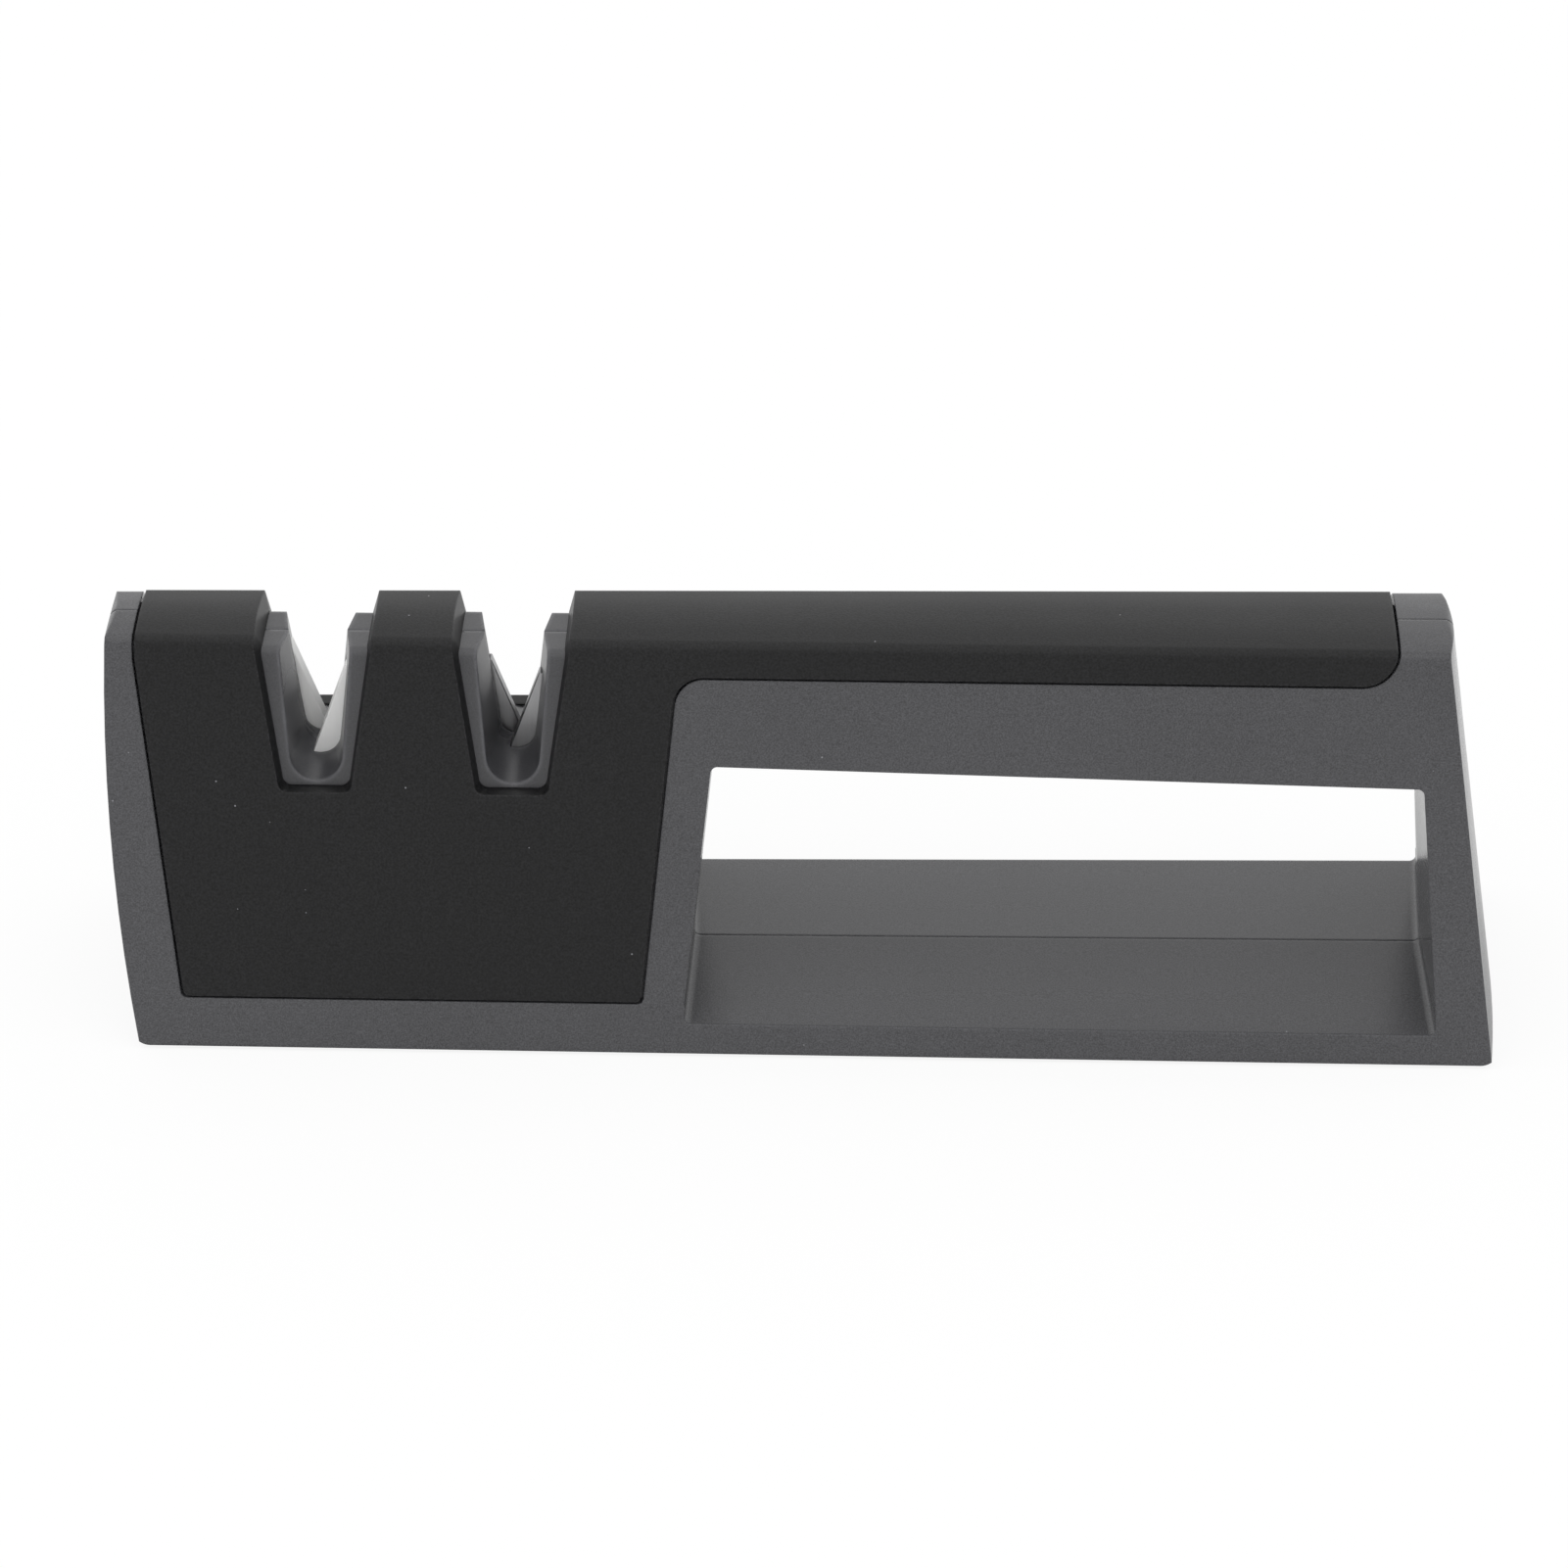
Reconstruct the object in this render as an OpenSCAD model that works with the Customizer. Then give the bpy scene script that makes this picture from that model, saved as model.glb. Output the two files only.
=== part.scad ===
// Two-stage pull-through knife sharpener with a hand grip over an open window.
// Millimetres, +Z up, x along the length, the front at -y, the origin on the table below the middle.

/* [Body] */
// length over both ends
body_len = 202.2; // [190:0.2:225]
// height from the table to the top of the crown
body_h = 60; // [58:0.5:64]
// depth across the bottom edge at mid length
base_depth = 49.8; // [46:0.2:56]
// depth across the crown at mid length, to the sharp corners
crown_depth = 17.2; // [15.6:0.2:19]
// radius where the crown turns into the long faces
crown_r = 1.8; // [1.6:0.05:2.4]
// radius of the slight arch across the crown
crown_arch_r = 55; // [40:1:90]
// angle by which each long face opens towards the right end
plan_flare = 0.7; // [0:0.1:1.2]
// radius of the ball-shaped left end
left_bow_r = 294; // [240:2:400]
// height of the foremost point of the left end
left_bow_z = 43; // [36:1:50]
// inward lean of the right end
right_lean = 8.2; // [4:0.1:10]
// plan radius of the right end at its foot
right_bulge_r = 197; // [150:1:260]
// plan radius of the right end at the crown
right_top_r = 39.5; // [30:0.5:60]
// radius of the lower corners of both ends
end_corner_r = 3; // [1:0.1:3.2]
// radius of the upper corners of both ends
end_top_r = 2; // [1:0.1:2.4]
// wall thickness of the two shells
wall = 3.4; // [3:0.1:3.8]
// gap left along the parting line
seam_gap = 0.16; // [0.1:0.02:0.3]

/* [Grip window] */
// height of the window floor at the parting line
win_floor = 5.8; // [5.4:0.1:8]
// height of the window's upper left corner at the parting line
win_top = 41.7; // [38:0.1:42]
// drop of the upper edge from left to right
win_top_drop = 1.9; // [0:0.1:4]
// distance of the upper left corner from the left end of the body
win_left = 88.1; // [86.5:0.1:90.5]
// distance of the upper right corner from the right end of the body
win_right_post = 12.7; // [12.4:0.1:18]
// outward run of the left edge from top to floor
win_left_run = 3.9; // [0:0.1:5]
// outward run of the right edge from top to floor
win_right_run = 2.55; // [0:0.05:3]
// corner radius of the window
win_r = 1; // [0.5:0.1:4]
// draft of the window floor and ceiling
win_drop = 2.2; // [0.5:0.1:2.4]
// draft of the window sides in the front shell
win_side = 1.6; // [0.5:0.1:3]
// draft of the window sides in the rear shell
win_back_side = 2.7; // [0.5:0.1:3]
// wall of the tunnel through the body
tunnel_wall = 1.8; // [1.6:0.1:1.9]

/* [Cover] */
// thickness of the soft cover
cover_t = 1.8; // [1.4:0.1:2]
// extra thickness of the cover around the slots
rim_t = 0.9; // [0.6:0.05:1.1]
// height by which the cover stands proud of the shells
cover_proud = 0.3; // [0.1:0.05:0.5]
// gap between the cover and the edge of its recess
cover_gap = 0.35; // [0.2:0.05:0.5]
// distance from the left end to the cover at the crown
cover_left = 4.8; // [4:0.2:7]
// inward run of the cover's left edge from crown to foot
cover_left_run = 5.9; // [3:0.1:8]
// height at which the left edge starts to slant
cover_kink = 56.4; // [54:0.2:57]
// height of the lower edge of the cover panel
cover_foot = 8; // [7:0.2:12]
// distance of the panel's lower right corner from the left end
panel_right = 77.4; // [73.5:0.1:78.5]
// outward run of the panel's right edge from foot to grip
panel_right_run = 5.2; // [3:0.1:5.6]
// height of the lower edge of the grip strip
grip_z = 54.9; // [53:0.1:55.2]
// distance from the right end to the grip strip's end
grip_right = 16.4; // [15:0.2:22]
// radius of the grip strip's lower right corner
grip_r = 5.2; // [3:0.1:5.4]
// radius of the inner corner between panel and grip strip
panel_fillet = 4.6; // [2:0.1:5]
// radius of the panel's lower corners
panel_r = 0.9; // [0.5:0.1:2]

/* [Slots] */
// distance of the fine slot from the left end of the body
fine_x = 30.45; // [29:0.05:33]
// distance between the two slots
slot_pitch = 28.5; // [27:0.1:30]
// half width of a cut-out in the cover at the crown
cut_top_half = 8.5; // [7:0.1:9.4]
// half width of a cut-out at its foot
cut_foot_half = 5.1; // [4.6:0.1:7]
// height of the foot of a cut-out on the front
cut_z = 37.9; // [37.4:0.1:39.5]
// rise of the foot of a cut-out on the back
cut_back_lift = 0.7; // [0:0.1:1]
// draft of the edges of a cut-out
cut_draft = 12; // [2:0.5:14]
// corner radius of a cut-out
cut_r = 1.3; // [0.6:0.1:2]
// width of a slot at the round bottom, at the parting line
slot_w = 4.8; // [4.2:0.1:6]
// height of the slot bottom at the parting line
slot_z = 39.8; // [39:0.1:41]
// opening angle of each slot side
slot_open = 7; // [5:0.1:8]
// draft of the slot towards each face
slot_draft = 8.2; // [6:0.1:9]

/* [Slot blocks] */
// half width of a block
block_half = 12.2; // [11.8:0.1:12.8]
// drop of the block crown below the body crown
block_drop = 3; // [2.6:0.05:3.4]
// radius of the block crown
block_r = 1.5; // [0.8:0.1:2]
// space between the feet of the bars and the retainer below them
bar_seat = 0.3; // [0.2:0.05:0.8]
// half depth of the lower part of a block
block_half_depth = 9.6; // [9:0.1:10]
// clearance between a block and the shells
block_gap = 0.1; // [0.05:0.01:0.2]

/* [Sharpening bars] */
// lean of each bar from the upright
bar_angle = 20; // [17:0.5:23]
// height at which the bar edges cross
bar_cross_z = 41.9; // [41.4:0.1:43]
// width of the bars
bar_w = 6.5; // [5.5:0.1:7]
// length of the fine bars
fine_len = 30; // [27:0.5:30]
// thickness of the fine bars
fine_t = 2.7; // [2.2:0.1:3]
// height of the fine bars above the crossing
fine_rise = 11.7; // [10:0.1:12.4]
// length of the coarse bars
coarse_len = 28; // [25:0.5:28]
// thickness of the coarse bars
coarse_t = 2; // [1.6:0.1:2.4]
// height of the coarse bars above the crossing
coarse_rise = 9.9; // [8:0.1:11]
// half the space between the planes of the two fine bars
fine_web = 1.7; // [1.2:0.1:2]
// half the space between the planes of the two coarse bars
coarse_web = 0.9; // [0.8:0.1:1.4]
// clearance of the bars in their pockets
bar_gap = 0.05; // [0.03:0.01:0.1]

/* [Base] */
// height by which the feet lift the body
foot_h = 0.6; // [0.4:0.1:1]
// thickness of the base plate
plate_t = 2.2; // [2:0.1:2.3]
// clearance around the base plate
plate_gap = 0.2; // [0.1:0.05:0.4]
// radius of a foot
foot_r = 5; // [4:0.2:6]
// depth of a foot in the base plate
foot_sink = 0.8; // [0.5:0.1:1]
// distance of the left feet from the left end
foot_left = 24; // [22:1:30]
// distance of the right feet from the right end
foot_right = 19; // [19:1:26]
// distance of the feet's centres from the bottom edge of the long faces
foot_inset = 10.9; // [10:0.1:13]

/* [Screws] */
// radius of a shell or base screw
screw_r = 1.25; // [1:0.05:1.4]
// radius of the screw heads
head_r = 2.3; // [2:0.05:2.4]
// height of the screw heads
head_h = 1.3; // [1:0.1:1.4]
// clearance around the screws
screw_gap = 0.06; // [0.04:0.01:0.1]
// radius of the screw posts
post_r = 3.2; // [3:0.1:3.5]
// thread length in the front shell
screw_reach = 5; // [4:0.1:5.4]
// radius of the block and retainer screws
small_r = 0.9; // [0.8:0.05:1]
// head radius of the small screws
small_head_r = 1.7; // [1.5:0.05:1.8]
// head height of the small screws
small_head_h = 1; // [0.8:0.1:1.2]
// thickness of a bar retainer
retainer_t = 2.4; // [2:0.1:2.6]

/* [Hidden] */
$fn = 64;
over = body_len;
left_x = -body_len / 2;
right_x = body_len / 2;
win_x = left_x + win_left;
foot_y = base_depth / 2 - foot_inset;
lean = atan((base_depth - crown_depth) / 2 / (body_h - foot_h));
flare_t = tan(plan_flare);
cone_turn = atan((right_bulge_r - right_top_r) * cos(right_lean) / (body_h - foot_h));
cone_rise = right_bulge_r / tan(cone_turn);
cone_foot_x = right_x + end_corner_r * ((1 + sin(right_lean)) / cos(right_lean) - 1);
bow_reach = sqrt(pow(left_bow_r, 2) - pow(left_bow_z - foot_h, 2));
bow_foot_x = left_x + left_bow_r - bow_reach;
bow_top_x = left_x + left_bow_r - sqrt(pow(left_bow_r, 2) - pow(left_bow_z - body_h, 2));
slot_xs = [left_x + fine_x, left_x + fine_x + slot_pitch];
recess = cover_t - cover_proud;
inset = recess + rim_t;
cut_depth = cover_t + rim_t;
seat_gap = seam_gap / 3;
cut_slant = (cut_top_half - cut_foot_half) / (body_h - cut_z);
panel_slant = atan(panel_right_run / (grip_z - cover_foot));
win_mid = (right_x - win_right_post + win_x) / 2;
win_h = win_top - win_floor;
block_top = body_h - block_drop;
step_z = cut_z - wall / 2;
post_h = 4 * post_r;
post_back = base_depth / 2 - wall - 2.2 * post_r;
// arcs are drawn larger by this share, so that they cross the lines they end on
ease_share = 1.003;
shade = [0.34, 0.34, 0.35];
black = [0.16, 0.16, 0.17];

// half depth of the long face at a place, moved outwards by g
function face_y(x, z, g) = crown_depth / 2 + x * flare_t + (body_h - z) * tan(lean) + g / cos(lean);
function unit(v) = v / norm(v);
function turn(a, b) = acos(unit(a) * unit(b));

// screw places of the shells as x, z
shell_places = [
  [left_x + cover_left + 2 * post_r, body_h * 2 / 3],
  [left_x + fine_x - block_half - post_r / 2, plate_t + 3 * post_r],
  [win_x - 5 * post_r, plate_t + 3 * post_r],
  [slot_xs[1] + block_half + 2 * post_r, (win_top + body_h - wall) / 2 - post_r],
  [win_mid, (win_top + body_h) / 2 - tunnel_wall / 3],
  [right_x - grip_right - 2.5 * post_r, (win_top + body_h) / 2 - tunnel_wall / 3]
];
// screw places of the base plate as x, y on the front side
base_places = [
  [left_x + 4 * post_r, post_back],
  [win_x - 5 * post_r, post_back],
  [right_x - wall - head_r - screw_r / 2, post_back]
];
small_x = (block_half + bar_w) / 2;
// height of a block's underside, below the feet of its bars
function block_foot(length, rise) = bar_cross_z + rise - length * cos(bar_angle)
  - bar_w * sin(bar_angle) - bar_seat;
block_zs = [block_foot(fine_len, fine_rise), block_foot(coarse_len, coarse_rise)];
function small_z(stage) = block_zs[stage] + 4.4 * small_head_r;

// polygon with rounded corners, every corner turning the same way
module rounded(pts, rads) {
  n = len(pts);
  polygon([for (i = [0:n - 1], k = [0, 1])
    let (q = pts[i], a = unit(pts[(i + n - 1) % n] - q), b = unit(pts[(i + 1) % n] - q),
      d = rads[i] / tan(turn(a, b) / 2))
    q + d * (k == 0 ? a : b)]);
  for (i = [0:n - 1])
    if (rads[i] > 0) {
      q = pts[i];
      a = unit(pts[(i + n - 1) % n] - q);
      b = unit(pts[(i + 1) % n] - q);
      translate(q + rads[i] / sin(turn(a, b) / 2) * unit(a + b)) circle(r = rads[i] * ease_share);
    }
}

// prism of a front view outline, from one depth to another towards the front
module through(y_back, y_front) {
  translate([0, y_back, 0]) rotate([90, 0, 0]) linear_extrude(y_back - y_front) children();
}

// pocket that opens towards the front with drafted sides and floor; each side reaches past the middle by lap
module drafted(side, drop, back = wall, lap = over) {
  for (s = [-1, 1])
    rotate([drop, 0, 0]) rotate([0, 0, s * side])
      through(back, -base_depth)
        intersection() {
          children();
          translate([s < 0 ? -over : -lap, -over]) square([over + lap, 2 * over]);
        }
}

module front_half(y = 0) {
  translate([-over, -over, -over]) cube([2 * over, over + y, 2 * over]);
}

// prism along the body that opens towards the right end, drawn as depth and height of its front half
module flared() {
  intersection() {
    rotate([0, 0, -plan_flare]) translate([-over, 0, 0]) rotate([90, 0, 90])
      linear_extrude(2 * over) children();
    front_half();
  }
}

// section across the body, moved outwards by g: arched crown, round corner, leaning face
module tent_section(g) {
  rise = body_h - crown_arch_r;
  half = crown_depth / 2;
  tilt = asin((half * cos(lean) + crown_arch_r * sin(lean) - crown_r) / (crown_arch_r - crown_r)) - lean;
  out = crown_arch_r + g;
  c = [-(crown_arch_r - crown_r) * sin(tilt), rise + (crown_arch_r - crown_r) * cos(tilt)];
  r = crown_r + g;
  top = body_h + wall;
  intersection() {
    if (r > 0)
      polygon([
        [wall, top],
        [-(out + wall) * sin(tilt), rise + (out + wall) * cos(tilt)],
        c,
        c + r * [-cos(lean), sin(lean)],
        [-face_y(0, -wall, g), -wall],
        [wall, -wall]
      ]);
    else
      polygon([
        [wall, top],
        [-face_y(0, top, g), top],
        [-face_y(0, -wall, g), -wall],
        [wall, -wall]
      ]);
    translate([0, rise]) circle(r = out, $fn = 360);
  }
  if (r > 0) translate(c) circle(r = r * ease_share);
}

// front half of the long tent-shaped prism
module tent_half(g) {
  flared() tent_section(g);
}

module tent(g) {
  tent_half(g);
  mirror([0, 1, 0]) tent_half(g);
}

// the ball-shaped left end and the leaning right end, which bulges more at the crown than at the foot
module ends(g) {
  intersection() {
    translate([left_x + left_bow_r, 0, left_bow_z]) sphere(r = left_bow_r + g, $fn = 200);
    translate([cone_foot_x, 0, foot_h]) rotate([0, -right_lean, 0])
      translate([g, 0, cone_rise + g / tan(cone_turn)]) rotate([0, 180 + cone_turn, 0])
        cylinder(r1 = 0, r2 = 2 * over * tan(cone_turn), h = 2 * over, $fn = 200);
  }
}

// front view of a space around the shells that rounds the corners of both ends and cuts the underside
module end_view() {
  rounded([
    [bow_foot_x, foot_h],
    [right_x, foot_h],
    [right_x, body_h / 2],
    [cone_foot_x - (body_h - foot_h) * tan(right_lean), body_h],
    [0, body_h + wall],
    [bow_top_x, body_h],
    [left_x - wall, left_bow_z]
  ], [end_corner_r, end_corner_r, 0, end_top_r, 0, end_top_r, 0]);
}

// outer form of the front shell
module half_blank() {
  intersection() {
    tent_half(0);
    ends(0);
    through(wall, -base_depth) end_view();
  }
}

// front view of the window, grown by g
module window_view(g) {
  rounded([
    [win_x - win_left_run - g, win_floor - g],
    [right_x - win_right_post + win_right_run + g, win_floor - g],
    [right_x - win_right_post + g, win_top - win_top_drop + g],
    [win_x - g, win_top + g]
  ], [win_r + g, win_r + g, win_r + g, win_r + g]);
}

// half of the window with draft towards the face
module window_cut(side) {
  for (s = [0, 1])
    translate([win_mid, 0, win_floor + s * win_h])
      drafted(side, s == 0 ? win_drop : -win_drop, wall, wall)
        translate([-win_mid, -win_floor - s * win_h]) window_view(0);
}

// place of the panel's slanted right edge at a height, moved outwards by g
function panel_x(z, g) = left_x + panel_right + (z - cover_foot) * tan(panel_slant) + g / cos(panel_slant);

// front view of the cover, grown by g
module cover_view(g) {
  top = body_h + 3 * wall;
  r = panel_fillet - g;
  c = [panel_x(grip_z - panel_fillet, panel_fillet), grip_z - panel_fillet];
  edge = c + r * [-cos(panel_slant), sin(panel_slant)];
  rounded([
    [left_x + cover_left + cover_left_run - g, cover_foot - g],
    [panel_x(cover_foot - g, g), cover_foot - g],
    [panel_x(top, g), top],
    [left_x + cover_left - g, top],
    [left_x + cover_left - g, cover_kink]
  ], [panel_r, panel_r, 0, 0, 0]);
  rounded([
    [edge[0] - r, grip_z - g],
    [right_x - grip_right + g, grip_z - g],
    [right_x - grip_right + g, top],
    [edge[0] - r, top]
  ], [0, grip_r + g, 0, 0]);
  difference() {
    translate([edge[0] - r / 2, edge[1]]) square([c[0] - edge[0] + r / 2, c[1] - edge[1] + r * 3 / 2]);
    translate(c) circle(r = r * ease_share);
  }
}

// view of a cut-out square to the face, from its foot up to a height
module cut_view(up) {
  d = cut_depth * tan(cut_draft);
  k = cut_slant * cos(lean);
  rounded([
    [-cut_foot_half + d, d],
    [cut_foot_half - d, d],
    [cut_foot_half - d + (up - d) * k, up],
    [-cut_foot_half + d - (up - d) * k, up]
  ], [cut_r, cut_r, 0, 0]);
}

// cut-outs of the cover for the two slots on the front and across the crown
module cut_outs(lift) {
  z = cut_z + lift;
  low = cut_top_half - cut_depth * tan(cut_draft) - block_drop * cut_slant;
  run = (cut_top_half - low) / (block_drop + cover_proud);
  for (x = slot_xs) {
    translate([x, -face_y(x, z, cover_proud), z]) rotate([-lean, 0, 0]) translate([0, cut_depth, 0]) {
      drafted(cut_draft, 0, seat_gap) cut_view((body_h - z) / cos(lean) + wall);
      drafted(cut_draft, cut_draft, seat_gap) cut_view(2 * cut_r);
    }
    translate([x, 0, block_top]) through(wall, -crown_depth)
      polygon([
        [-low + run * wall, -wall],
        [low - run * wall, -wall],
        [low + run * 2 * wall, 2 * wall],
        [-low - run * 2 * wall, 2 * wall]
      ]);
  }
}

// front view of the part of a slot above its round bottom
module slot_view() {
  r = slot_w / 2;
  h = block_top - slot_z - r + wall;
  polygon([
    [-r * cos(slot_open), -r * sin(slot_open)],
    [r * cos(slot_open), -r * sin(slot_open)],
    [r / cos(slot_open) + h * tan(slot_open), h],
    [-r / cos(slot_open) - h * tan(slot_open), h]
  ]);
}

// front half of a slot: the round bottom is a cone that widens towards the face, the sides touch it
module slot_cut() {
  r = slot_w / 2;
  translate([0, 0, slot_z + r]) {
    drafted(atan(tan(slot_draft) / cos(slot_open)), 0, seat_gap, slot_w * 2 / 3) slot_view();
    rotate([90, 0, 0])
      cylinder(r1 = r * ease_share, r2 = (r + base_depth * tan(slot_draft)) * ease_share, h = base_depth);
  }
}

// section of the blocks behind the cover, moved outwards by g
module block_section(g) {
  u = face_y(0, block_top, -inset) - block_r * tan(45 - lean / 2);
  r = block_r + g;
  polygon([
    [wall, block_top + g],
    [-u, block_top + g],
    [-u - r * cos(lean), block_top - block_r + r * sin(lean)],
    [-face_y(0, -wall, g - inset), -wall],
    [wall, -wall]
  ]);
  translate([-u, block_top - block_r]) circle(r = r * ease_share);
}

// front half of a block without its holes: a straight foot and a head that follows the body's face
module block_blank(stage) {
  intersection() {
    translate([-block_half, -base_depth, block_zs[stage]])
      cube([2 * block_half, base_depth - seam_gap / 2, over]);
    union() {
      translate([-over, -block_half_depth, -over]) cube([2 * over, base_depth, over + step_z + wall / 2]);
      intersection() {
        translate([-slot_xs[stage], 0, 0]) flared() block_section(0);
        translate([-over, -base_depth, step_z]) cube([2 * over, 2 * base_depth, over]);
      }
    }
  }
}

// one bar standing in the slot, leaning to the right, on the front side
module bar(length, t, rise, web, g = 0, down = 0) {
  up = rise / cos(bar_angle);
  translate([0, -web - t - g, bar_cross_z]) rotate([0, bar_angle, 0])
    translate([-g, 0, up - length - g - down]) cube([bar_w + 2 * g, t + 2 * g, length + 2 * g + down]);
}

// front half of a slot block with its bar pocket and screw holes
module block_half_solid(stage, length, t, rise, web, head) {
  difference() {
    block_blank(stage);
    slot_cut();
    bar(length, t, rise, web, bar_gap, block_zs[stage]);
    for (s = [-1, 1])
      translate([s * small_x, 0, small_z(stage)]) rotate([90, 0, 0])
        if (head) {
          translate([0, 0, -wall]) cylinder(r = small_r + screw_gap, h = base_depth);
          translate([0, 0, block_half_depth - small_head_h - screw_gap])
            cylinder(r = small_head_r + screw_gap, h = base_depth);
        } else {
          translate([0, 0, -wall]) cylinder(r = small_r + screw_gap, h = wall + block_half_depth * 2 / 3);
        }
    translate([small_x, -block_half_depth / 2, block_zs[stage] - retainer_t])
      cylinder(r = small_r + screw_gap, h = retainer_t + 2.2 * small_head_r);
  }
}

module fine_half(head) {
  color(shade) translate([slot_xs[0], 0, 0])
    block_half_solid(0, fine_len, fine_t, fine_rise, fine_web, head);
}

module coarse_half(head) {
  color(shade) translate([slot_xs[1], 0, 0])
    block_half_solid(1, coarse_len, coarse_t, coarse_rise, coarse_web, head);
}

// turns a piece of the front half about the upright axis of a slot into the rear half
module swapped(x) {
  translate([2 * x, 0, 0]) rotate([0, 0, 180]) children();
}

module fine_bar() {
  color([0.93, 0.93, 0.91]) translate([slot_xs[0], 0, 0]) bar(fine_len, fine_t, fine_rise, fine_web);
}

module coarse_bar() {
  color([0.3, 0.3, 0.31]) translate([slot_xs[1], 0, 0])
    bar(coarse_len, coarse_t, coarse_rise, coarse_web);
}

// plate under a block that keeps the bars in
module retainer(stage) {
  color(shade) translate([slot_xs[stage], 0, block_zs[stage]])
    difference() {
      translate([-block_half, -block_half_depth, -seat_gap - retainer_t])
        cube([2 * block_half, 2 * block_half_depth, retainer_t]);
      for (s = [-1, 1])
        translate([s * small_x, -s * block_half_depth / 2, -2 * retainer_t]) {
          cylinder(r = small_r + screw_gap, h = 3 * retainer_t);
          cylinder(r = small_head_r + screw_gap, h = retainer_t + small_head_h);
        }
    }
}

// half depth at which a shell screw's head rests
function head_y(p) = face_y(p[0], p[1] + head_r, -recess) - head_h - screw_gap * 2;

module small_screw(length) {
  cylinder(r = small_r, h = length);
  translate([0, 0, -small_head_h]) cylinder(r = small_head_r, h = small_head_h);
}

module screw(length) {
  cylinder(r = screw_r, h = length);
  translate([0, 0, -head_h]) cylinder(r = head_r, h = head_h);
}

module block_screws() {
  color([0.7, 0.7, 0.72])
    for (stage = [0, 1], s = [-1, 1])
      translate([slot_xs[stage] + s * small_x, block_half_depth - small_head_h, small_z(stage)])
        rotate([90, 0, 0])
          small_screw(block_half_depth * 1.5);
}

module retainer_screws() {
  color([0.7, 0.7, 0.72])
    for (stage = [0, 1], s = [-1, 1])
      translate([slot_xs[stage] + s * small_x, -s * block_half_depth / 2,
        block_zs[stage] - retainer_t + small_head_h])
        small_screw(retainer_t - small_head_h + 2 * small_head_r);
}

module shell_screws() {
  color([0.7, 0.7, 0.72])
    for (p = shell_places)
      translate([p[0], head_y(p), p[1]]) rotate([90, 0, 0]) screw(head_y(p) + screw_reach);
}

module base_screws() {
  color([0.7, 0.7, 0.72])
    for (p = base_places, s = [-1, 1])
      translate([p[0], s * p[1], foot_h + screw_gap + head_h]) screw(post_h * 3 / 4);
}

// posts, ribs and tunnel wall that stay inside the hollow of a shell
module inner_posts() {
  for (p = shell_places)
    translate([p[0], 0, p[1]]) rotate([90, 0, 0]) cylinder(r = post_r, h = base_depth);
  for (p = base_places) {
    translate([p[0], -p[1], foot_h + plate_t + seat_gap]) cylinder(r = head_r, h = post_h);
    translate([p[0] - tunnel_wall / 2, -base_depth, foot_h + plate_t + seat_gap])
      cube([tunnel_wall, base_depth - p[1], post_h]);
  }
  through(0, -base_depth) window_view(tunnel_wall);
}

// hollow shell half; the rear one carries the screw heads
module shell(head) {
  color(shade)
    difference() {
      half_blank();
      difference() {
        intersection() {
          tent_half(-wall);
          ends(-wall);
        }
        difference() {
          inner_posts();
          translate([-over, -over, -over]) cube([2 * over, 2 * over, over + foot_h + plate_t + seat_gap]);
        }
      }
      window_cut(head ? win_back_side : win_side);
      difference() {
        through(0, -base_depth) cover_view(cover_gap);
        tent(-recess - seat_gap);
      }
      for (x = slot_xs)
        translate([x - block_half - block_gap, -base_depth, step_z - block_gap])
          cube([2 * (block_half + block_gap), 2 * base_depth, over]);
      for (p = shell_places)
        translate([p[0], 0, p[1]]) rotate([90, 0, 0]) {
          translate([0, 0, -wall])
            cylinder(r = screw_r + screw_gap, h = wall + (head ? base_depth : screw_reach + screw_r));
          if (head) translate([0, 0, head_y(p) - screw_gap]) cylinder(r = head_r + screw_gap, h = base_depth);
        }
      for (p = base_places)
        translate([p[0], -p[1], 0]) cylinder(r = screw_r + screw_gap, h = foot_h + plate_t + post_h * 3 / 4);
      seam_relief();
    }
}

// thin step along the parting line, left out at the screw posts
module seam_relief() {
  difference() {
    translate([-over, -seam_gap / 2, -over]) cube([2 * over, wall, 2 * over]);
    for (p = shell_places)
      translate([p[0], wall, p[1]]) rotate([90, 0, 0]) cylinder(r = post_r, h = 2 * wall);
  }
}

module front_shell() {
  shell(false);
}

module rear_shell() {
  mirror([0, 1, 0]) shell(true);
}

module grip_cover() {
  color(black)
    difference() {
      intersection() {
        tent(cover_proud);
        through(base_depth, -base_depth) cover_view(0);
      }
      difference() {
        tent(-recess);
        for (x = slot_xs)
          translate([x - block_half, -base_depth, step_z]) cube([2 * block_half, 2 * base_depth, over]);
      }
      for (s = [0, 1])
        mirror([0, s, 0]) {
          flared() block_section(seat_gap);
          cut_outs(s * cut_back_lift);
        }
    }
}

module base_plate() {
  color(black)
    difference() {
      intersection() {
        tent(-wall - plate_gap);
        ends(-wall - plate_gap);
        translate([-over, -over, foot_h]) cube([2 * over, 2 * over, plate_t]);
      }
      for (p = base_places, s = [-1, 1])
        translate([p[0], s * p[1], 0]) {
          cylinder(r = screw_r + screw_gap, h = 3 * plate_t);
          cylinder(r = head_r + screw_gap, h = foot_h + screw_gap + head_h + seat_gap);
        }
      for (sx = [-1, 1], s = [-1, 1])
        translate([foot_x(sx), s * foot_y, 0]) cylinder(r = foot_r + screw_gap, h = foot_h + foot_sink);
    }
}

function foot_x(sx) = sx < 0 ? left_x + foot_left : right_x - foot_right;

module foot(sx, s) {
  color([0.1, 0.1, 0.1])
    translate([foot_x(sx), s * foot_y, 0]) cylinder(r = foot_r, h = foot_h + foot_sink);
}

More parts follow.
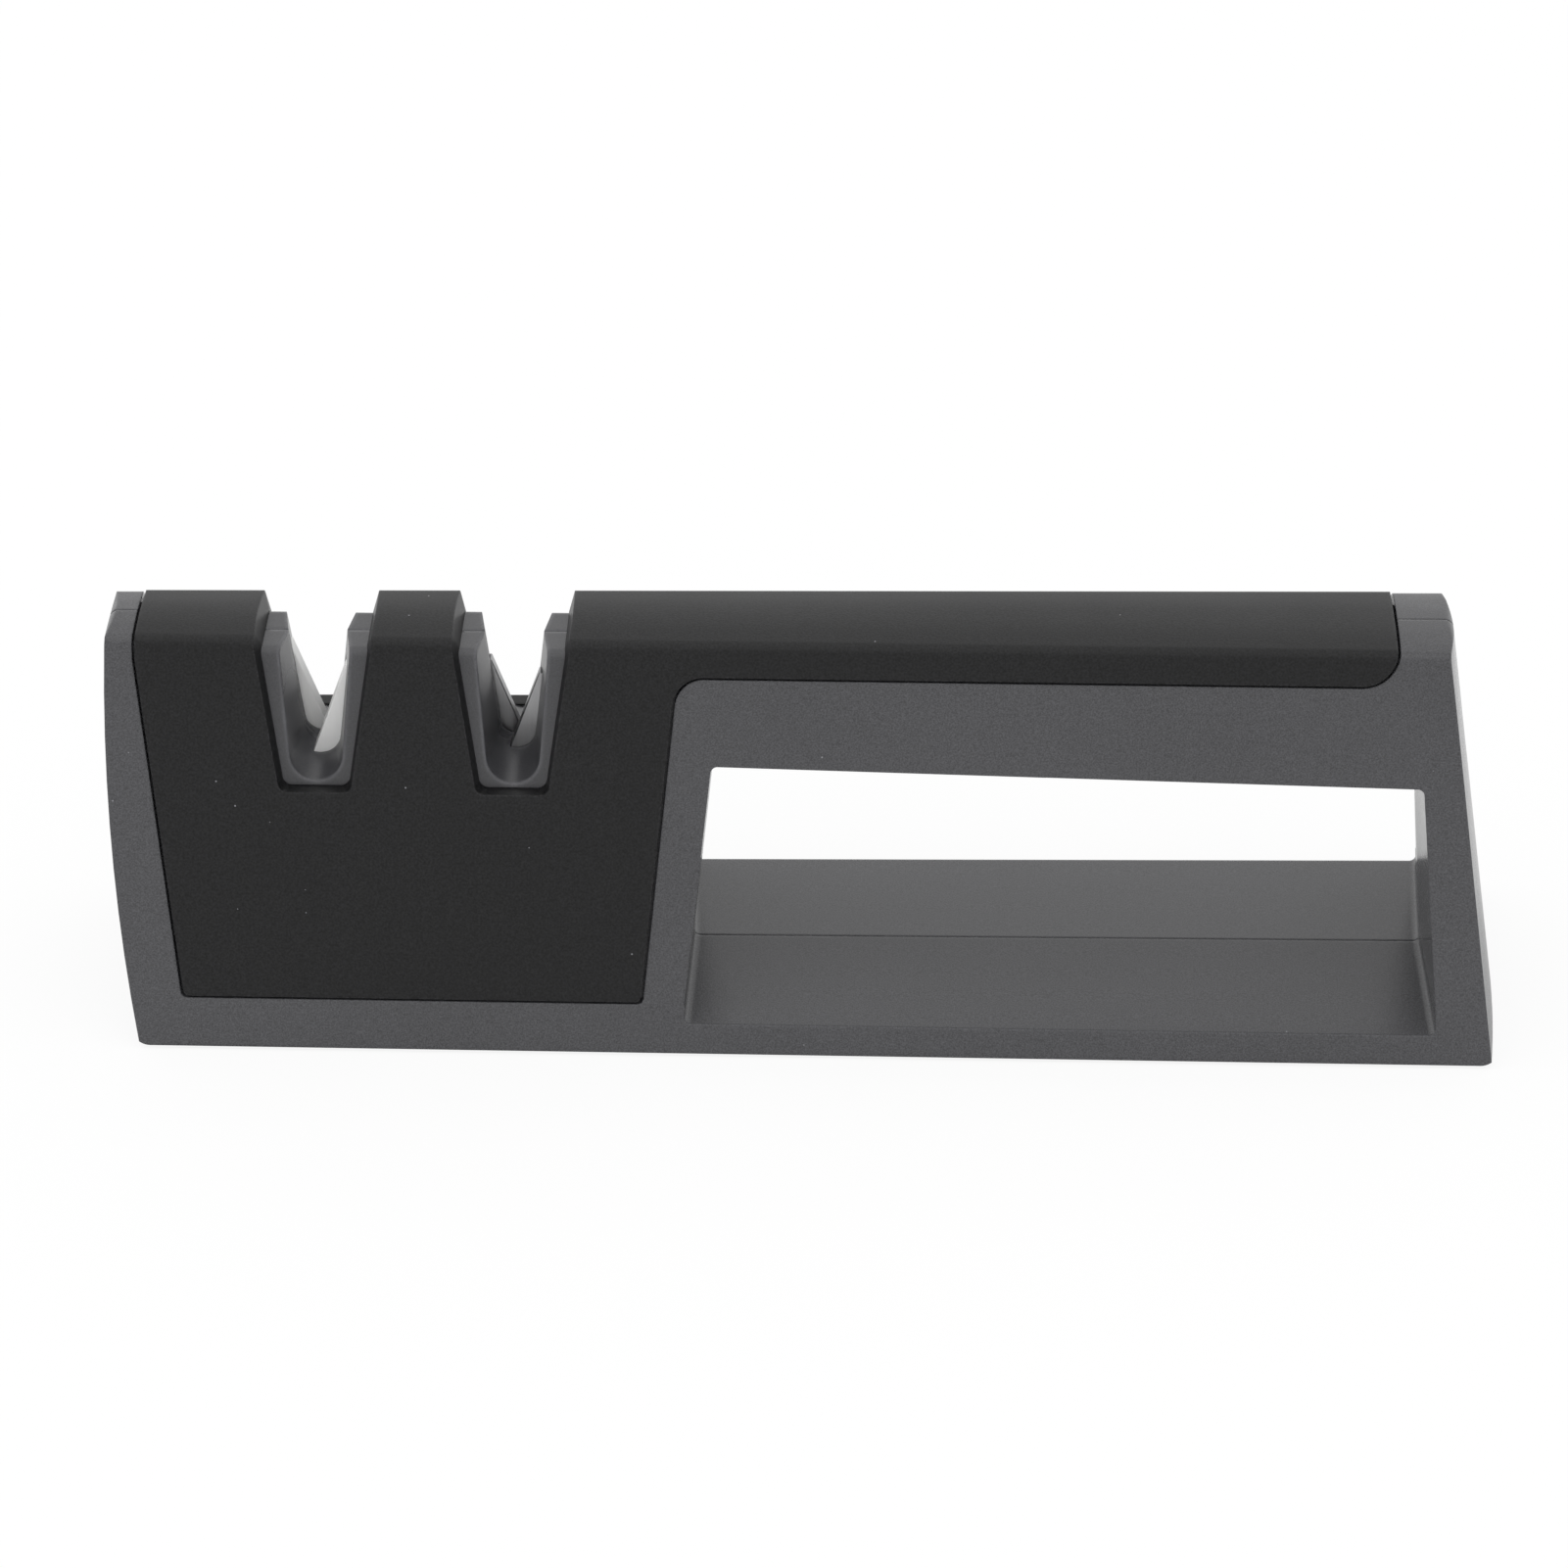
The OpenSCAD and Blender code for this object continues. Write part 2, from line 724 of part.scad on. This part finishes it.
front_shell();
rear_shell();
grip_cover();
fine_half(false);  // fine_block_front
swapped(slot_xs[0]) fine_half(true);  // fine_block_rear
coarse_half(false);  // coarse_block_front
swapped(slot_xs[1]) coarse_half(true);  // coarse_block_rear
swapped(slot_xs[0]) fine_bar();  // fine_bar_left
fine_bar();  // fine_bar_right
swapped(slot_xs[1]) coarse_bar();  // coarse_bar_left
coarse_bar();  // coarse_bar_right
retainer(0);  // fine_retainer
retainer(1);  // coarse_retainer
block_screws();
retainer_screws();
shell_screws();
base_plate();
base_screws();
foot(-1, -1);  // foot_front_left
foot(1, -1);  // foot_front_right
foot(-1, 1);  // foot_rear_left
foot(1, 1);  // foot_rear_right
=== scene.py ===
# %% [markdown]
# A two-stage knife sharpener stands on a white table. Its long body is moulded in two grey shells, a soft
# black cover is laid into them, and two slots at the left end hold crossed bars, white ceramic in the first
# and dark hard metal in the second. The solids of all pieces come from the frame and stay where they are.
# This script gives them softened edges and finishes, and adds a thin tongue inside the wall of the window.

import math

import bmesh
import bpy
from mathutils import Matrix, Vector


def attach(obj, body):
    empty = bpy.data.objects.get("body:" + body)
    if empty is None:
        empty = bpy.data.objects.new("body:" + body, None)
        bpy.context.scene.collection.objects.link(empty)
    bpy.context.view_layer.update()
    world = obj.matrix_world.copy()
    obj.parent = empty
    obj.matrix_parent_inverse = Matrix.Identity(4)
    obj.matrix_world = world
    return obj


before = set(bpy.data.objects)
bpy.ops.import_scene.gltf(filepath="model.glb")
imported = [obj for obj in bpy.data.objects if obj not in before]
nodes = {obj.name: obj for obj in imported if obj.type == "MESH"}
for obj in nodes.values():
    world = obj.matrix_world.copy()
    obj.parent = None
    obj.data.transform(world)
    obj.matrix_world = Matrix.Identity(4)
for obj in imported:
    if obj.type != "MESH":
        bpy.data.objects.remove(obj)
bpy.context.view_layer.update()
MM = 0.001

# %% [markdown]
# The photograph was taken from a little above, nearly square to the long front face. A camera could be placed
# by eye, but then few edges would lie where the photograph has them. So its angle, distance and focal length
# were found by matching corners of the body: it stands 84 cm from a point inside the body and sees 6.96
# pixels per millimetre there.

# %% Place the camera
PHOTO_SIZE = 1601
SENSOR = 36.0
elevation = math.radians(30.0)
yaw = math.radians(1.58)
roll = math.radians(-0.33)
distance = 840 * MM
pixels_per_mm = 6.964
target = Vector((-3.3, 0, 31.8)) * MM
nearest_seen = 10 * MM

forward = Vector((-math.sin(yaw) * math.cos(elevation), math.cos(yaw) * math.cos(elevation),
                  -math.sin(elevation)))
level = Vector((math.cos(yaw), math.sin(yaw), 0))
upright = level.cross(forward)
right = math.cos(roll) * level + math.sin(roll) * upright
up = math.cos(roll) * upright - math.sin(roll) * level
place = target - distance * forward

camera_data = bpy.data.cameras.new("camera")
camera_data.sensor_width = SENSOR
camera_data.lens = pixels_per_mm * (distance / MM) * SENSOR / PHOTO_SIZE
camera_data.clip_start = nearest_seen
camera = bpy.data.objects.new("camera", camera_data)
bpy.context.scene.collection.objects.link(camera)
rows = [(right[i], up[i], -forward[i], place[i]) for i in range(3)]
camera.matrix_world = Matrix(rows + [(0, 0, 0, 1)])
bpy.context.scene.camera = camera
print("camera lens", round(camera_data.lens, 1), "mm at", [round(v, 3) for v in place])

# %% [markdown]
# World and materials are trees of nodes, and the same few moves come back in all of them. Each could be
# written out every time, but short helpers keep the steps readable: feed a socket from another one or with
# a plain value, do one sum, and blend two shaders into the output.

# %% Write the helpers for node trees


def feed(tree, source, socket):
    if isinstance(source, bpy.types.NodeSocket):
        tree.links.new(source, socket)
    else:
        socket.default_value = source


def combine(tree, operation, first, second):
    node = tree.nodes.new("ShaderNodeMath")
    node.operation = operation
    feed(tree, first, node.inputs[0])
    feed(tree, second, node.inputs[1])
    return node.outputs[0]


def blend_out(tree, share, first, second, out_kind):
    blend = tree.nodes.new("ShaderNodeMixShader")
    tree.links.new(share, blend.inputs[0])
    tree.links.new(first.outputs[0], blend.inputs[1])
    tree.links.new(second.outputs[0], blend.inputs[2])
    out = tree.nodes.new(out_kind)
    tree.links.new(blend.outputs[0], out.inputs["Surface"])


print("helpers for node trees ready")

# %% [markdown]
# The object was shot in a white tent, so light comes from all round, a little more from above. Large lamps on
# every side could stand for the tent's walls, but a plain white world does the same and shows no edges in the
# gloss. Rays that the eye, a glossy or a clear surface sends out see it at full white. The light that it casts
# is a little lower, because a lamp adds the rest.

# %% Make the white tent
bpy.context.scene.view_settings.view_transform = "Standard"
WHITE = (1, 1, 1, 1)
tent_light = 0.95


def white_tent(name, ambient):
    world = bpy.data.worlds.new(name)
    world.use_nodes = True
    tree = world.node_tree
    tree.nodes.clear()
    rays = tree.nodes.new("ShaderNodeLightPath").outputs
    seen = combine(tree, "MAXIMUM", rays["Is Camera Ray"], rays["Is Glossy Ray"])
    seen = combine(tree, "MAXIMUM", seen, rays["Is Transmission Ray"])
    cast = tree.nodes.new("ShaderNodeBackground")
    cast.inputs["Color"].default_value = WHITE
    cast.inputs["Strength"].default_value = ambient
    shown = tree.nodes.new("ShaderNodeBackground")
    shown.inputs["Color"].default_value = WHITE
    blend_out(tree, seen, cast, shown, "ShaderNodeOutputWorld")
    return world


bpy.context.scene.world = white_tent("white_tent", tent_light)
print("the tent casts", tent_light)

# %% [markdown]
# The lamp that adds the rest hangs overhead, a little to the front and left. A small one would draw hard lines
# in the slots and the window, which the photograph doesn't show, so it is more than a metre wide.

# %% Hang the soft lamp
lamp_power = 1.5
lamp_place = (-0.15, -0.1, 1.0)
lamp_aim = (0, 0, 0)
lamp_width = 1.2
lamp_depth = 0.9


def soft_lamp(name, place, aim, width, depth, power):
    data = bpy.data.lights.new(name, "AREA")
    data.shape = "RECTANGLE"
    data.size = width
    data.size_y = depth
    data.energy = power
    lamp = bpy.data.objects.new(name, data)
    bpy.context.scene.collection.objects.link(lamp)
    lamp.location = place
    lamp.rotation_euler = (Vector(aim) - Vector(place)).to_track_quat("-Z", "Y").to_euler()
    lamp.visible_camera = False
    return lamp


soft_lamp("overhead", lamp_place, lamp_aim, lamp_width, lamp_depth, lamp_power)
print("a lamp of", lamp_power, "W hangs", lamp_place[2], "m up")

# %% [markdown]
# The table is white too, and the picture shows only a thin soft shadow where the body meets it. A real white
# table under this light would show a broad grey shadow, so the camera sees mostly plain white and a small
# share of the lit surface, which keeps the shadow faint.

# %% Lay the table
table_reach = 3.0
table_white = 0.98
shadow_share = 0.12

table_mesh = bpy.data.meshes.new("table")
corners = [(-table_reach, -table_reach, 0), (table_reach, -table_reach, 0),
           (table_reach, table_reach, 0), (-table_reach, table_reach, 0)]
table_mesh.from_pydata(corners, [], [(0, 1, 2, 3)])
table = bpy.data.objects.new("table", table_mesh)
bpy.context.scene.collection.objects.link(table)


def table_finish():
    material = bpy.data.materials.new("white_table")
    material.use_nodes = True
    tree = material.node_tree
    tree.nodes.clear()
    rays = tree.nodes.new("ShaderNodeLightPath").outputs
    lit = tree.nodes.new("ShaderNodeBsdfDiffuse")
    lit.inputs["Color"].default_value = (table_white, table_white, table_white, 1)
    plain = tree.nodes.new("ShaderNodeEmission")
    plain.inputs["Color"].default_value = WHITE
    share = combine(tree, "MULTIPLY", rays["Is Camera Ray"], 1 - shadow_share)
    blend_out(tree, share, lit, plain, "ShaderNodeOutputMaterial")
    return material


table.data.materials.append(table_finish())
print("table laid,", 2 * table_reach, "m wide")

# %% [markdown]
# Four effects come back on several pieces: the grain of moulded plastic, a painted highlight and some rubbing
# along its edges, the dust on it, and the fine lines of ground surfaces. Each is a node group with named inputs
# and outputs, made once and placed in every finish that needs it with its own values. Copies of the nodes in
# each material would look the same, but each change would have to be made in all of them. These helpers start a
# group, add a noise in it, and stretch the middle part of a noise, where nearly all its values lie, to a range.

# %% Start the node groups
noise_low = 0.3
noise_high = 0.7


def new_group(name, inputs, outputs):
    group = bpy.data.node_groups.new(name, "ShaderNodeTree")
    for label, default in inputs:
        socket = group.interface.new_socket(label, in_out="INPUT", socket_type="NodeSocketFloat")
        socket.default_value = default
    for label in outputs:
        group.interface.new_socket(label, in_out="OUTPUT", socket_type="NodeSocketFloat")
    start = group.nodes.new("NodeGroupInput")
    end = group.nodes.new("NodeGroupOutput")
    return group, start.outputs, end.inputs


def noise(tree, place, scale, detail):
    texture = tree.nodes.new("ShaderNodeTexNoise")
    texture.inputs["Detail"].default_value = detail
    tree.links.new(place, texture.inputs["Vector"])
    feed(tree, scale, texture.inputs["Scale"])
    return texture.outputs["Fac"]


def span(tree, value, low, high, start=noise_low, end=noise_high):
    node = tree.nodes.new("ShaderNodeMapRange")
    node.inputs["From Min"].default_value = start
    node.inputs["From Max"].default_value = end
    node.inputs["To Min"].default_value = low
    node.inputs["To Max"].default_value = high
    tree.links.new(value, node.inputs["Value"])
    return node.outputs["Result"]


print("helpers for node groups ready, noise taken from", noise_low, "to", noise_high)

# %% [markdown]
# Moulded plastic isn't smooth: the tool is etched, which leaves a fine grain that breaks up reflections and
# flecks the colour, and colour and gloss drift a little over a hand's width. A picture of such plastic could be
# wrapped round each piece, but noise in the piece's own space has no seams and keeps its real size on every
# face. The group puts out the grain's height, the slow drift, and the brightness of the flecks round 1.

# %% Build the grain shared by the moulded pieces
grain_detail = 2.0
drift_detail = 3.0
drift_scale = 25


def moulded_grain_group():
    group, given, result = new_group(
        "moulded_grain", [("Grain Scale", 4000), ("Drift Scale", drift_scale), ("Fleck", 0.5)],
        ["Grain", "Drift", "Fleck Level"])
    place = group.nodes.new("ShaderNodeTexCoord").outputs["Object"]
    grain = noise(group, place, given["Grain Scale"], grain_detail)
    drift = noise(group, place, given["Drift Scale"], drift_detail)
    fleck = combine(group, "MULTIPLY", span(group, grain, -1, 1), given["Fleck"])
    group.links.new(grain, result["Grain"])
    group.links.new(drift, result["Drift"])
    group.links.new(combine(group, "ADD", fleck, 1), result["Fleck Level"])
    return group


moulded_grain = moulded_grain_group()
print("group", moulded_grain.name, "made")

# %% [markdown]
# Edges are painted a little lighter than the flats: a painted highlight where rounded edges catch the light,
# together with some rubbing by hands and table tops. The band could be painted by hand, edge by edge, but a
# bevelled normal compared with the true one finds all the edges, and a noise breaks the band up so that it is
# uneven.

# %% Build the painted edge highlights
still_flat = 0.995
fully_edge = 0.9
edge_samples = 4
patch_scale = 250
patch_detail = 3.0


# The mask marks where a painted edge highlight goes, with a little rubbing in it.
def edge_highlight_and_wear_group():
    group, given, result = new_group("edge_highlight_and_wear", [("Radius", 0.5 * MM), ("Amount", 1.0)], ["Mask"])
    rounded = group.nodes.new("ShaderNodeBevel")
    rounded.samples = edge_samples
    group.links.new(given["Radius"], rounded.inputs["Radius"])
    facing = group.nodes.new("ShaderNodeNewGeometry")
    match = group.nodes.new("ShaderNodeVectorMath")
    match.operation = "DOT_PRODUCT"
    group.links.new(rounded.outputs["Normal"], match.inputs[0])
    group.links.new(facing.outputs["Normal"], match.inputs[1])
    edge = span(group, match.outputs["Value"], 0, 1, still_flat, fully_edge)
    place = group.nodes.new("ShaderNodeTexCoord").outputs["Object"]
    broken = combine(group, "MULTIPLY", edge, noise(group, place, patch_scale, patch_detail))
    group.links.new(combine(group, "MULTIPLY", broken, given["Amount"]), result["Mask"])
    return group


edge_highlight_and_wear = edge_highlight_and_wear_group()
print("group", edge_highlight_and_wear.name, "made")

# %% [markdown]
# A soft black surface never stays clean in front of a camera: a few specks of dust settle on it. Loose grains
# of mesh could be scattered for them, but they would be too small to shape. One speck sits in some of the cells
# of a Voronoi pattern, close to the cell's middle, so they are sparse and never in rows.

# %% Build the specks of dust


def settled_dust_group():
    group, given, result = new_group(
        "settled_dust", [("Cell Scale", 400), ("Speck Size", 0.05), ("Share", 0.1)], ["Mask"])
    cells = group.nodes.new("ShaderNodeTexVoronoi")
    group.links.new(group.nodes.new("ShaderNodeTexCoord").outputs["Object"], cells.inputs["Vector"])
    group.links.new(given["Cell Scale"], cells.inputs["Scale"])
    pick = group.nodes.new("ShaderNodeSeparateColor")
    group.links.new(cells.outputs["Color"], pick.inputs["Color"])
    near = combine(group, "LESS_THAN", cells.outputs["Distance"], given["Speck Size"])
    chosen = combine(group, "LESS_THAN", pick.outputs["Red"], given["Share"])
    group.links.new(combine(group, "MULTIPLY", near, chosen), result["Mask"])
    return group


settled_dust = settled_dust_group()
print("group", settled_dust.name, "made")

# %% [markdown]
# Ceramic and hard metal are ground, which leaves fine lines. They could be cut into the mesh, but that takes
# far too many faces for lines this shallow. A noise that is finer across than upwards draws them. They run
# upright, about 20 degrees off the leaning bars, which is close enough for lines this fine. With one scale for
# both ways the group gives an even grain instead, which the plated screws use.

# %% Build the ground lines
line_detail = 3.0


def ground_lines_group():
    group, given, result = new_group("ground_lines", [("Along", 150), ("Across", 2500)], ["Lines"])
    size = group.nodes.new("ShaderNodeCombineXYZ")
    for axis, label in (("X", "Across"), ("Y", "Across"), ("Z", "Along")):
        group.links.new(given[label], size.inputs[axis])
    stretch = group.nodes.new("ShaderNodeMapping")
    group.links.new(group.nodes.new("ShaderNodeTexCoord").outputs["Object"], stretch.inputs["Vector"])
    group.links.new(size.outputs["Vector"], stretch.inputs["Scale"])
    group.links.new(noise(group, stretch.outputs["Vector"], 1.0, line_detail), result["Lines"])
    return group


ground_lines = ground_lines_group()
print("group", ground_lines.name, "made")

# %% [markdown]
# The finishes share a few steps: place a group, mix two tones by a mask, brighten a tone, and turn a height
# into a bump. The bump can start from a normal that is rounded at the edges. A wide bevel of the mesh would
# round them for real, but without a limit it leaves dark lines where the faces are small. So the rounding that
# the mesh can't have comes from the shader. The greys are a touch blue, as in the photograph.

# %% Write the helpers of the finishes
blue_share = 1.08
rounding_samples = 6


def grey(value):
    return (value, value, value * blue_share, 1)


def group_node(tree, group, **values):
    node = tree.nodes.new("ShaderNodeGroup")
    node.node_tree = group
    for label, value in values.items():
        node.inputs[label.replace("_", " ")].default_value = value
    return node.outputs


def mix_tones(tree, mask, low, high):
    mix = tree.nodes.new("ShaderNodeMix")
    mix.data_type = "RGBA"
    tree.links.new(mask, mix.inputs["Factor"])
    feed(tree, low, mix.inputs["A"])
    feed(tree, high, mix.inputs["B"])
    return mix.outputs["Result"]


def brighten(tree, tone, level):
    scaled = tree.nodes.new("ShaderNodeVectorMath")
    scaled.operation = "SCALE"
    tree.links.new(tone, scaled.inputs[0])
    tree.links.new(level, scaled.inputs["Scale"])
    return scaled.outputs["Vector"]


def bump(tree, height, depth, strength, rounding=0):
    node = tree.nodes.new("ShaderNodeBump")
    node.inputs["Distance"].default_value = depth
    node.inputs["Strength"].default_value = strength
    tree.links.new(height, node.inputs["Height"])
    if rounding:
        rounded = tree.nodes.new("ShaderNodeBevel")
        rounded.samples = rounding_samples
        rounded.inputs["Radius"].default_value = rounding
        tree.links.new(rounded.outputs["Normal"], node.inputs["Normal"])
    return node.outputs["Normal"]


def new_finish(name):
    material = bpy.data.materials.new(name)
    material.use_nodes = True
    tree = material.node_tree
    return material, tree, tree.nodes["Principled BSDF"].inputs


print("helpers for finishes ready, greys bluer by", blue_share)

# %% [markdown]
# A moulded finish takes its colour between a darker and a lighter tone with the drift, takes a painted
# highlight, with some rubbing, at its edges and is flecked by the grain, and a few specks of dust lie on top.
# Its gloss varies with the drift, and the grain also gives a shallow bump. Five materials could be built one by
# one, but one function with the values of each keeps them alike where the real ones are.

# %% Write the finish of a moulded piece
dust_tone = grey(0.22)
grain_strength = 0.5
sheen_roughness = 0.15


def moulded_finish(name, dark, light, edge_highlight_tone, gloss, grain_scale, grain_depth=0.04 * MM, specular=0.5,
                   edge_highlight_amount=0.5, edge_highlight_radius=0.4 * MM, dust_share=0.03, fleck=0.5, rounding=0.4 * MM, sheen=0.0):
    material, tree, shader = new_finish(name)
    grain = group_node(tree, moulded_grain, Grain_Scale=grain_scale, Drift_Scale=drift_scale, Fleck=fleck)
    edge_highlight_mask = group_node(tree, edge_highlight_and_wear, Radius=edge_highlight_radius, Amount=edge_highlight_amount)
    dust = group_node(tree, settled_dust, Share=dust_share)
    tone = mix_tones(tree, span(tree, grain["Drift"], 0, 1), grey(dark), grey(light))
    # Painted edge highlight: edges take a lighter tone that stands in for light caught by their rounding, with
    # some rubbing.
    tone = mix_tones(tree, edge_highlight_mask["Mask"], tone, grey(edge_highlight_tone))
    tone = brighten(tree, tone, grain["Fleck Level"])
    tree.links.new(mix_tones(tree, dust["Mask"], tone, dust_tone), shader["Base Color"])
    tree.links.new(span(tree, grain["Drift"], *gloss), shader["Roughness"])
    tree.links.new(bump(tree, grain["Grain"], grain_depth, grain_strength, rounding), shader["Normal"])
    shader["Specular IOR Level"].default_value = specular
    shader["Coat Weight"].default_value = sheen
    shader["Coat Roughness"].default_value = sheen_roughness
    return material


print("moulded finish ready, dust tone", dust_tone)

# %% [markdown]
# Five moulded materials are used. The shells are dark grey with a clear grain, and they shine where the eye
# skims them, as at the right end. The cover is soft and nearly black, with a thin sheen that shows on its
# crown. The slot blocks are smoother, and the soft light line on their rims is a wide painted edge highlight.
# The base plate is plain dark plastic, and the feet are matt rubber. The values could be read off a chart of
# such materials, but they were tuned until the tones of the render met those of the photograph.

# %% Mix the five moulded materials
# The edge tones and amounts below paint a light highlight line along the edges of shells, cover and blocks.
shell_finish = moulded_finish("grey_moulding", dark=0.052, light=0.059, edge_highlight_tone=0.12, gloss=(0.15, 0.23),
                              grain_scale=4500, edge_highlight_amount=0.9, fleck=0.42, rounding=0.6 * MM)
cover_finish = moulded_finish("soft_black_cover", dark=0.0048, light=0.0062, edge_highlight_tone=0.04, gloss=(0.4, 0.48),
                              grain_scale=3200, specular=0.23, edge_highlight_amount=0.8, dust_share=0.13, fleck=1.0,
                              rounding=0.7 * MM, sheen=0.12)
block_finish = moulded_finish("slot_block_moulding", dark=0.049, light=0.056, edge_highlight_tone=0.14, gloss=(0.24, 0.3),
                              grain_scale=5200, grain_depth=0.012 * MM, edge_highlight_amount=1.5, edge_highlight_radius=0.9 * MM, fleck=0.2,
                              rounding=1.0 * MM)
base_finish = moulded_finish("base_moulding", dark=0.02, light=0.024, edge_highlight_tone=0.04, gloss=(0.5, 0.6),
                             grain_scale=3500)
foot_finish = moulded_finish("foot_rubber", dark=0.014, light=0.018, edge_highlight_tone=0.025, gloss=(0.75, 0.85),
                             grain_scale=2500, specular=0.3)
print("moulded:", [m.name for m in (shell_finish, cover_finish, block_finish, base_finish, foot_finish)])

# %% [markdown]
# The fine bars are ground white ceramic, nearly matt and very pale. The coarse bars are dark hard metal, finely
# ground, and the screws are plated steel. A plain colour would do from far away, but with the ground lines
# colour, gloss and surface change together, and that is what a close view shows.

# %% Write the finishes of the bars and screws
line_depth = 0.01 * MM


def ground_finish(name, dark, light, gloss, along, across, strength, metallic):
    material, tree, shader = new_finish(name)
    lines = group_node(tree, ground_lines, Along=along, Across=across)["Lines"]
    tree.links.new(mix_tones(tree, lines, (*dark, 1), (*light, 1)), shader["Base Color"])
    tree.links.new(span(tree, lines, *gloss), shader["Roughness"])
    tree.links.new(bump(tree, lines, line_depth, strength), shader["Normal"])
    shader["Metallic"].default_value = metallic
    return material


fine_finish = ground_finish("white_ceramic", (0.86, 0.86, 0.85), (0.93, 0.93, 0.92), (0.36, 0.48),
                            along=150, across=2500, strength=0.4, metallic=0.0)
coarse_finish = ground_finish("dark_hard_metal", (0.28, 0.28, 0.285), (0.4, 0.4, 0.405), (0.28, 0.4),
                              along=150, across=2500, strength=0.3, metallic=1.0)
screw_finish = ground_finish("plated_screw", (0.5, 0.5, 0.51), (0.62, 0.62, 0.63), (0.25, 0.4),
                             along=800, across=800, strength=0.3, metallic=1.0)
print("bars and screws:", [m.name for m in (fine_finish, coarse_finish, screw_finish)])

# %% [markdown]
# Each solid of the frame keeps its shape and takes the finish of its kind. A table with all the names would be
# long, and the names say what each piece is, so a part of the name is enough. The screws come first, because
# their names also hold the piece that they fasten.

# %% Give every piece its finish
finish_by_part = [("screws", screw_finish), ("_shell", shell_finish), ("cover", cover_finish),
                  ("block", block_finish), ("retainer", block_finish), ("fine_bar", fine_finish),
                  ("coarse_bar", coarse_finish), ("foot", foot_finish), ("base_plate", base_finish)]
for node_name, piece in nodes.items():
    finish = next(finish for part, finish in finish_by_part if part in node_name)
    piece.data.materials.clear()
    piece.data.materials.append(finish)
    print(node_name, "takes", finish.name)

# %% [markdown]
# Sharp corners never come out of a mould. A small bevel on shells, cover, blocks and bars catches the light
# along their edges, as the photograph shows round the slots and the cover's recess. It could be cut into the
# solids, but modifiers leave them as they are, and each width can be tuned in the picture. The faces of the
# solids come as triangles, so they are joined into whole flats first, and the bevel then follows only the
# real edges. The cover is also drawn in by a hair, because a thin dark gap runs all round it.

# %% Soften the edges
weld_reach = 0.001 * MM
flat_turn = math.radians(0.2)
edge_turn = math.radians(30)
edge_steps = 3
even_weight = 80
cover_gap = 0.12 * MM
edge_width = {"_shell": 0.1 * MM, "cover": 0.55 * MM, "block_": 0.8 * MM, "_bar_": 0.2 * MM}


def soften(piece, width, gap):
    weld = piece.modifiers.new("weld", "WELD")
    weld.merge_threshold = weld_reach
    flats = piece.modifiers.new("flats", "DECIMATE")
    flats.decimate_type = "DISSOLVE"
    flats.angle_limit = flat_turn
    if gap:
        shrink = piece.modifiers.new("gap", "DISPLACE")
        shrink.mid_level = 0
        shrink.strength = -gap
    edge = piece.modifiers.new("edge", "BEVEL")
    edge.width = width
    edge.segments = edge_steps
    edge.limit_method = "ANGLE"
    edge.angle_limit = edge_turn
    edge.harden_normals = False
    edge.use_clamp_overlap = True
    even = piece.modifiers.new("even", "WEIGHTED_NORMAL")
    even.keep_sharp = False
    even.weight = even_weight


for node_name, piece in nodes.items():
    for part, width in edge_width.items():
        if part in node_name and not node_name.endswith("screws"):
            soften(piece, width, cover_gap if part == "cover" else 0)
            print(node_name, "softened by", round(width / MM, 2), "mm")

# %% [markdown]
# The shells meet with a hairline gap. A moulding has a low tongue there that keeps light and crumbs out, and
# without one the sky shows through the gap from the end. A strip could run along the whole gap, but only the
# wall round the window is thin enough to let light through. So it is one closed ring of mesh inside that
# wall, and it only has to follow the window's four corners, which are its real ones.

# %% Set the tongue round the window
window_corners = [(-16.9, 5.8), (90.95, 5.8), (88.4, 39.8), (-13.0, 41.7)]
corner_signs = [(-1, -1), (1, -1), (1, 1), (-1, 1)]
tongue_near = 0.5
tongue_far = 1.3
tongue_half = 0.07


def grown_window(g):
    return [(x + sx * g, z + sz * g) for (x, z), (sx, sz) in zip(window_corners, corner_signs)]


def window_tongue():
    mesh = bmesh.new()
    loops = [[mesh.verts.new((x * MM, y * MM, z * MM)) for x, z in grown_window(g)]
             for g, y in ((tongue_near, -tongue_half), (tongue_far, -tongue_half),
                          (tongue_far, tongue_half), (tongue_near, tongue_half))]
    for a in range(4):
        for c in range(4):
            b, d = (a + 1) % 4, (c + 1) % 4
            mesh.faces.new((loops[a][c], loops[a][d], loops[b][d], loops[b][c]))
    bmesh.ops.recalc_face_normals(mesh, faces=mesh.faces)
    data = bpy.data.meshes.new("window_tongue")
    mesh.to_mesh(data)
    mesh.free()
    piece = bpy.data.objects.new("window_tongue", data)
    bpy.context.scene.collection.objects.link(piece)
    return piece


tongue = window_tongue()
tongue.data.materials.append(shell_finish)
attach(tongue, "root")
print("tongue of", len(tongue.data.polygons), "faces set")
